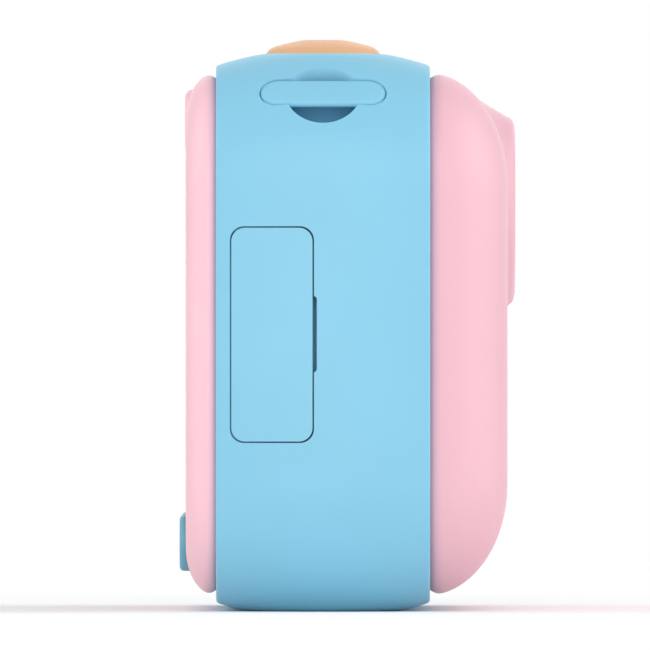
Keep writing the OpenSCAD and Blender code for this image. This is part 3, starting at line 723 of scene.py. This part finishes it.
button_columns = [button_pitch * i for i in (-2, -1, 0, 1, 2)]
rear_cuts = [
    lambda: prism(
        "window_seat",
        rounded_outline((window_hi.x - window_lo.x) / 2 + 0.1, (window_hi.z - window_lo.z) / 2 + 0.1, 3),
        along_y(0, screen_centre),
        face_rear - 1.05,
        face_rear + 3,
    ),
    hole_y(2.35, 0, selfie_z, face_rear - 0.8, face_rear + 3, 64),
    hole_y(0.5, button_pitch / 2, button_z, seam_rear + 1, face_rear + 3, 24),
]
rear_cuts += [hole_y(button_r + 0.12, x, button_z, seam_rear + 1, face_rear + 3, 64) for x in button_columns]
rear_cuts += [hole_y(2.1, x, z, seam_rear + 0.5, face_rear + 3, 48) for x, z in screw_places]
rear = shell_piece("rear_cover_shell", "rear_cover", rear_solid, rear_cuts, [selfie_bump])
dress(rear, "shell_pink")


# ---------------------------------------------------------------- outside pieces


def port_cover():
    """The soft cover: a crowned slab cut from the body's own surface, over its plug."""
    piece = band_solid("port_cover_skin")
    outline = rounded_outline((port_hi.y - port_lo.y) / 2, (port_hi.z - port_lo.z) / 2, 1.45)
    slab = prism("slab", outline, along_x(port_y, port_z), -body_half_w - 5, -body_half_w + 2.1)
    plug_place, slot_place = along_x(port_y - 0.4, port_z), along_x(port_hi.y - 0.45, port_z)
    plug = prism("plug", rounded_outline(2.6, 10.3, 1), plug_place, -body_half_w + 1.7, -body_half_w + 2.9)
    boolean(piece, [slab], "INTERSECT")
    boolean(piece, [plug], "UNION")
    slot_cut = prism("slot_cut", rounded_outline(0.75, 3.2, 0.1), slot_place, -body_half_w + 2.1, -30)
    boolean(piece, [slot_cut], "DIFFERENCE")
    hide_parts("port_cover")
    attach(piece, "port_door")
    return dress(finish_mesh(piece), "tpu_blue")


def port_tether():
    """The cover's soft strap, which runs out of its slot."""
    lo, hi = cad_box_mm("port_cover_tether")
    y = hi.y - 0.75
    outline = rounded_outline(0.36, (hi.z - lo.z) / 2, 0.34, 8)
    levels = np.linspace(lo.x - 0.06, hi.x - 0.9, 25)
    piece = lofted("port_cover_strap", [[(x, y + u, port_z + v) for u, v in outline] for x in levels])
    bulb = prism("bulb", disc(0.72, 48), along_z(hi.x - 0.72, y), lo.z, hi.z)
    boolean(piece, [bulb], "UNION")
    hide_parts("port_cover_tether")
    start, end = Vector((lo.x + 1.5, y, port_z)) * MM, Vector((lo.x - 0.1, y, port_z)) * MM
    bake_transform(piece)
    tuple(start)
    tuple(end)
    return dress(finish_mesh(piece), "tpu_blue")


def strap_bar(side, name):
    """A pill-shaped bar whose rounded top follows the body's corner."""
    place = corner_place(side)
    half_l, half_w, round_edge = 6.675, 1.85, 0.6
    rings = []
    for t in np.linspace(0, 90, 7):
        inset = 0.35 * (1 - math.sin(math.radians(t)))
        level = bar_base + 0.35 * (1 - math.cos(math.radians(t)))
        outline = rounded_outline(half_l - inset, half_w - inset, half_w - inset - 0.001, 20)
        rings.append([place(u, v - side * bar_up, level) for u, v in outline])
    steps = [90 * i / 14 for i in range(15)] + [90] * 5
    for i, t in enumerate(steps):
        inset = round_edge * (1 - math.cos(math.radians(t))) + 0.17 * max(0, i - 14)
        drop = round_edge * 0.8 * (1 - math.sin(math.radians(t)))
        outline = rounded_outline(half_l - inset, half_w - inset, half_w - inset - 0.001, 20)
        ring = []
        for u, v in outline:
            v -= side * bar_up
            crown = crown_r - math.sqrt(crown_r**2 - u * u)
            bend = corner_r - math.sqrt(corner_r**2 - v * v)
            top = corner_r + 0.1 - crown - bend
            ring.append(place(u, v, max(top - drop, bar_base + 0.36)))
        rings.append(ring)
    piece = lofted(name + "_bar", rings)
    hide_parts(name)
    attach(piece, "root")
    return dress(piece, "body_blue")


def shutter_button():
    """A shallow dome with a faint thumb dish, over its guide and flange."""
    lo, hi = cad_box_mm("shutter_button")
    top = hi.z
    profile = [(0, lo.z), (2, lo.z), (2, lo.z + 2.8), (4.6, lo.z + 2.8), (4.6, lo.z + 0.4), (7.2, lo.z + 0.4)]
    profile += [(7.2, lo.z + 1.3), (shutter_r, lo.z + 1.3)]
    dome_r, edge_wide, edge_high = 16.5, 0.85, 0.62

    def level(r):
        return min(top, top + 0.1 - dome_r + math.sqrt(dome_r**2 - r * r))

    for t in np.linspace(0, 90, 13):
        r = shutter_r - edge_wide * (1 - math.cos(math.radians(t)))
        profile.append((r, level(r) - edge_high * (1 - math.sin(math.radians(t)))))
    profile += [(r, level(r)) for r in np.linspace(shutter_r - edge_wide - 0.1, 2.0, 18)]
    profile += [(1.8, top - 0.02), (1.2, top - 0.06), (0.6, top - 0.09), (0, top - 0.1)]
    piece = lathe("shutter_button_cap", profile, (shutter_x, shutter_y), "z", 128, 40)
    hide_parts("shutter_button")
    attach(piece, "shutter")
    return dress(piece, "button_orange")


def triangle(direction):
    """An arrow head that points along u in the given direction."""
    return [(direction * a, b) for a, b in ((-0.75, -0.85), (0.85, 0), (-0.75, 0.85))][:: int(direction)]


def icon_cuts(key, x):
    """Engraved marks that mean the same on any camera: menu lines, arrows, a ring and a play mark."""
    low, high = cad_hi.y / MM - 0.14, cad_hi.y / MM + 1
    if key == "menu":
        bar = rounded_outline(1.0, 0.14, 0.1, 3)
        return [prism("bar", bar, along_y(x, button_z + dz), low, high) for dz in (-0.65, 0, 0.65)]
    if key == "ok":
        ring = prism("ring", disc(1.15, 40), along_y(x, button_z), low, high)
        core = prism("core", disc(0.85, 40), along_y(x, button_z), low - 1, high + 1)
        return [boolean(ring, [core], "DIFFERENCE")]
    shape = triangle(1 if key == "left" else -1)
    marks = [prism("mark", shape, along_y(x, button_z), low, high)]
    if key == "play":
        bar = rounded_outline(0.13, 0.85, 0.1, 3)
        marks.append(prism("bar", bar, along_y(x + 1.15, button_z), low, high))
    return marks


def rear_button(key, x):
    """A key cap with its mark, over its flange and a stem that stays just clear of the switch."""
    lo, hi = cad_box_mm(key + "_button")
    tip = hi.y
    stem_r, stem_end = 1.4, lo.y + 0.02
    flange_r, flange_low, flange_high = 3.5, face_rear - 2.6, face_rear - 1.9
    profile = [(0, stem_end), (stem_r, stem_end), (stem_r, flange_low), (flange_r, flange_low)]
    profile += [(flange_r, flange_high), (button_r, flange_high)]
    profile += arc(button_r - 0.5, tip - 0.5, 0.5, 0.5, 0, 90, 12)
    profile += [(r, tip) for r in (2.0, 1.4, 0.7, 0)]
    piece = lathe(key + "_button_cap", profile, (x, button_z), "y", 96)
    boolean(piece, icon_cuts(key, x), "DIFFERENCE")
    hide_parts(key + "_button")
    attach(piece, key + "_key")
    return dress(finish_mesh(piece), "button_blue")


def turned_piece(name, node, profile, centre, slot, axis="y", steps=96, angle=32):
    piece = lathe(name, profile, centre, axis, steps, angle)
    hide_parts(node)
    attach(piece, "root")
    return dress(piece, slot)


def ring_profile(inner, outer, low, high, edge):
    """A flat ring with a polished rounded front."""
    points = [(inner, high), (inner, low + edge)]
    points += arc(inner + edge, low + edge, edge, edge, 180, 270, 6)
    points += arc(outer - edge, low + edge, edge, edge, 270, 360, 6)
    return points + [(outer, high)]


def ring_mesh(name, profile, centre, axis, steps):
    """A turned ring with an open middle, from a closed run of (radius, level) points."""
    turn = np.linspace(0, 2 * math.pi, steps, endpoint=False)
    rings = []
    for r, level in profile:
        if axis == "y":
            rings.append([(centre[0] + r * math.cos(a), level, centre[1] + r * math.sin(a)) for a in turn])
        else:
            rings.append([(centre[0] + r * math.cos(a), centre[1] + r * math.sin(a), level) for a in turn])
    count = len(rings)
    faces = []
    for i in range(count):
        low, high = i * steps, (i + 1) % count * steps
        for j in range(steps):
            k = (j + 1) % steps
            faces.append((low + j, low + k, high + k, high + j))
    return mesh_object(name, np.array(rings).reshape(-1, 3), faces)


def lens_ring():
    """The polished trim ring round the lens window."""
    profile = ring_profile(6.56, 7.9, ring_lo.y, ring_hi.y, 0.35)
    piece = ring_mesh("lens_trim_ring", profile, (0, lens_z), "y", 128)
    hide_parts("lens_ring")
    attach(piece, "root")
    return dress(piece, "steel")


def screen_window():
    """The display window, with a fine bevel round its face."""
    half_w, half_h = (window_hi.x - window_lo.x) / 2, (window_hi.z - window_lo.z) / 2
    back, face = window_lo.y, window_hi.y
    rings = []
    for inset, level in ((0.05, back), (0, back + 0.05), (0, face - 0.18), (0.05, face - 0.06), (0.18, face)):
        outline = rounded_outline(half_w - inset, half_h - inset, 2.9 - inset, 20)
        rings.append([(u, level, screen_centre + v) for u, v in outline])
    piece = lofted("screen_window_glass", rings)
    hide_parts("screen_window")
    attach(piece, "root")
    return dress(piece, "screen_glass")


def joined(first, second):
    """Both meshes in one object."""
    bm = bmesh.new()
    bm.from_mesh(first.data)
    bm.from_mesh(second.data)
    bm.to_mesh(first.data)
    bm.free()
    bpy.data.objects.remove(second)
    return first


def case_screws():
    """Four pan-head screws with a cross recess and a cut thread."""
    lo, hi = cad_box_mm("case_screws")
    seat, threads, thread_pitch = hi.y - 1.3, 30, 0.28
    profile = [(0, lo.y), (0.4, lo.y)]
    for i in range(threads):
        level = lo.y + 0.3 + i * thread_pitch
        profile += [(0.78, level), (0.99, level + thread_pitch / 2)]
    profile += [(0.8, seat - 0.2), (0.8, seat), (1.9, seat), (1.9, seat + 0.55)]
    profile += arc(1.2, seat + 0.5, 0.7, 0.75, 5, 85, 8) + [(0, hi.y)]
    slot_long, slot_wide = 1.05, 0.17
    whole = None
    for x, z in screw_places:
        screw = lathe("screw", profile, (x, z), "y", 48)
        for half_w, half_h in ((slot_long, slot_wide), (slot_wide, slot_long)):
            outline = rounded_outline(half_w, half_h, 0.05, 2)
            boolean(screw, [prism("cross", outline, along_y(x, z), hi.y - 0.8, hi.y + 1)], "DIFFERENCE")
        whole = screw if whole is None else joined(whole, screw)
    whole.name = "case_screw_set"
    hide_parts("case_screws")
    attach(whole, "root")
    return dress(finish_mesh(whole), "steel")


def tripod_insert():
    """A brass insert with rolled thread grooves."""
    lo, hi = cad_box_mm("tripod_nut")
    inner = [(3.05, lo.z)]
    turns = 5
    pitch = (hi.z - lo.z - 0.4) / turns
    for i in range(turns):
        inner += [(2.62, lo.z + 0.2 + pitch * (i + 0.25)), (3.1, lo.z + 0.2 + pitch * (i + 0.75))]
    inner += [(2.9, hi.z)]
    outer = [(4.18, hi.z), (4.18, lo.z + 0.15), (4.05, lo.z)]
    piece = ring_mesh("tripod_insert", inner + outer, (0, frame_y), "z", 96)
    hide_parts("tripod_nut")
    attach(piece, "root")
    return dress(piece, "brass")


port_cover()
port_tether()
strap_bar(-1, "strap_bar_left")
strap_bar(1, "strap_bar_right")
shutter_button()
for button_key, button_x in zip(("menu", "left", "ok", "right", "play"), button_columns):
    rear_button(button_key, button_x)
screen_window()
case_screws()
tripod_insert()

lens_ring()
lens_lo, lens_hi = cad_box_mm("lens_window")
window_profile = [(0, lens_hi.y), (6.4, lens_hi.y), (6.5, lens_hi.y - 0.1)]
window_profile += [(6.5, lens_lo.y + 0.2), (6.3, lens_lo.y), (0, lens_lo.y)]
turned_piece("lens_window_disc", "lens_window", window_profile, (0, lens_z), "lens_glass", steps=128)
selfie_lo, selfie_hi = cad_box_mm("selfie_window")
selfie_profile = [(0, selfie_lo.y), (2.2, selfie_lo.y), (2.25, selfie_lo.y + 0.1), (2.25, selfie_hi.y - 0.15)]
selfie_profile += [(2.1, selfie_hi.y), (0, selfie_hi.y)]
turned_piece("selfie_window_disc", "selfie_window", selfie_profile, (0, selfie_z), "lens_glass")
flash_lo, flash_hi = cad_box_mm("flash_window")
flash_profile = [(0, flash_hi.y), (2.4, flash_hi.y), (2.4, flash_lo.y + 0.15), (2.25, flash_lo.y)]
for groove in (1.9, 1.5, 1.1, 0.7, 0.3):
    flash_profile += [(groove, flash_lo.y + 0.02), (groove - 0.12, flash_lo.y + 0.14)]
flash_profile += [(0, flash_lo.y + 0.1)]
turned_piece("flash_lens", "flash_window", flash_profile, (flash_x, flash_z), "clear_plastic")


# ---------------------------------------------------------------- inner pieces keep their CAD shape

shown_by_pieces = {node for node, obj in frame["nodes"].items() if obj.hide_render}
slots = {part["node"]: part["material_slot"] for part in frame["record"]["subparts"]}
plain_edges = {"lcd_flex", "camera_flex", "shutter_flex", "battery_leads", "flash_leads", "speaker_leads"}
for node, obj in frame["nodes"].items():
    if node in shown_by_pieces:
        continue
    for i in range(max(1, len(obj.data.materials))):
        if obj.data.materials:
            obj.data.materials[i] = FINISH[slots[node]]
        else:
            obj.data.materials.append(FINISH[slots[node]])
    if node not in plain_edges:
        bevel = obj.modifiers.new("edges", "BEVEL")
        bevel.width, bevel.segments = 0.06 * MM, 2
        bevel.limit_method, bevel.angle_limit = "ANGLE", math.radians(50)
        bevel.use_clamp_overlap = True


# ---------------------------------------------------------------- floor, light and camera


def studio():
    """A pale floor and white surroundings under five soft lights."""
    scene = bpy.context.scene
    scene.view_settings.view_transform = "Standard"
    world = bpy.data.worlds.new("studio")
    scene.world = world
    world.use_nodes = True
    nodes, links = world.node_tree.nodes, world.node_tree.links
    back = nodes["Background"]
    back.inputs["Color"].default_value = (1, 1, 1, 1)
    seen = nodes.new("ShaderNodeBackground")
    seen.inputs["Color"].default_value = (1, 1, 1, 1)
    seen.inputs["Strength"].default_value = 1.0
    back.inputs["Strength"].default_value = 0.65
    path = nodes.new("ShaderNodeLightPath")
    mix = nodes.new("ShaderNodeMixShader")
    links.new(path.outputs["Is Camera Ray"], mix.inputs["Fac"])
    links.new(back.outputs[0], mix.inputs[1])
    links.new(seen.outputs[0], mix.inputs[2])
    links.new(mix.outputs[0], nodes["World Output"].inputs["Surface"])

    floor = mesh_object("floor", [(u, v, 0) for u, v in disc(600, 96)], [tuple(range(96))])
    mat, floor_nodes, floor_links, shader = new_material("floor_white")
    cloud = noise(floor_nodes, floor_links, 3, 2)
    pale = mixed(floor_nodes, floor_links, cloud, (0.93, 0.93, 0.93), (0.95, 0.95, 0.95))
    floor_links.new(pale, shader.inputs["Base Color"])
    shader.inputs["Roughness"].default_value = 0.9
    shader.inputs["Specular IOR Level"].default_value = 0.0
    floor.data.materials.append(mat)

    def soft_light(name, place, size_m, power):
        light = bpy.data.lights.new(name, "AREA")
        light.shape, light.size, light.energy = "SQUARE", size_m, power
        lamp = bpy.data.objects.new(name, light)
        lamp.location = place
        aim = Vector((0, 0, 0.03)) - Vector(place)
        lamp.rotation_mode = "QUATERNION"
        lamp.rotation_quaternion = aim.to_track_quat("-Z", "Y")
        scene.collection.objects.link(lamp)

    soft_light("side_light", (-1.5, 0.0, 0.35), 1.4, 15.3)
    soft_light("front_light", (0.2, -1.5, 0.6), 1.2, 11.5)
    soft_light("rear_light", (0.2, 1.5, 0.6), 1.2, 7.5)
    soft_light("far_light", (1.5, 0.0, 0.5), 1.2, 5)
    soft_light("top_light", (0.0, 0.0, 1.6), 1.0, 0.8)


def camera():
    """A far camera that looks straight at the port side; its view is sized at that side's surface."""
    cam = bpy.data.cameras.new("camera")
    cam.lens, cam.sensor_width = 1600, 36
    view_width, measured_at = 0.06995, -0.028
    distance = view_width / cam.sensor_width * cam.lens
    obj = bpy.data.objects.new("camera", cam)
    obj.location = (measured_at - distance, 2.48 * MM, 30.78 * MM)
    obj.rotation_mode = "QUATERNION"
    obj.rotation_quaternion = Vector((1, 0, 0)).to_track_quat("-Z", "Y")
    cam.clip_start, cam.clip_end = 0.05, 50
    bpy.context.scene.collection.objects.link(obj)
    bpy.context.scene.camera = obj


studio()
camera()
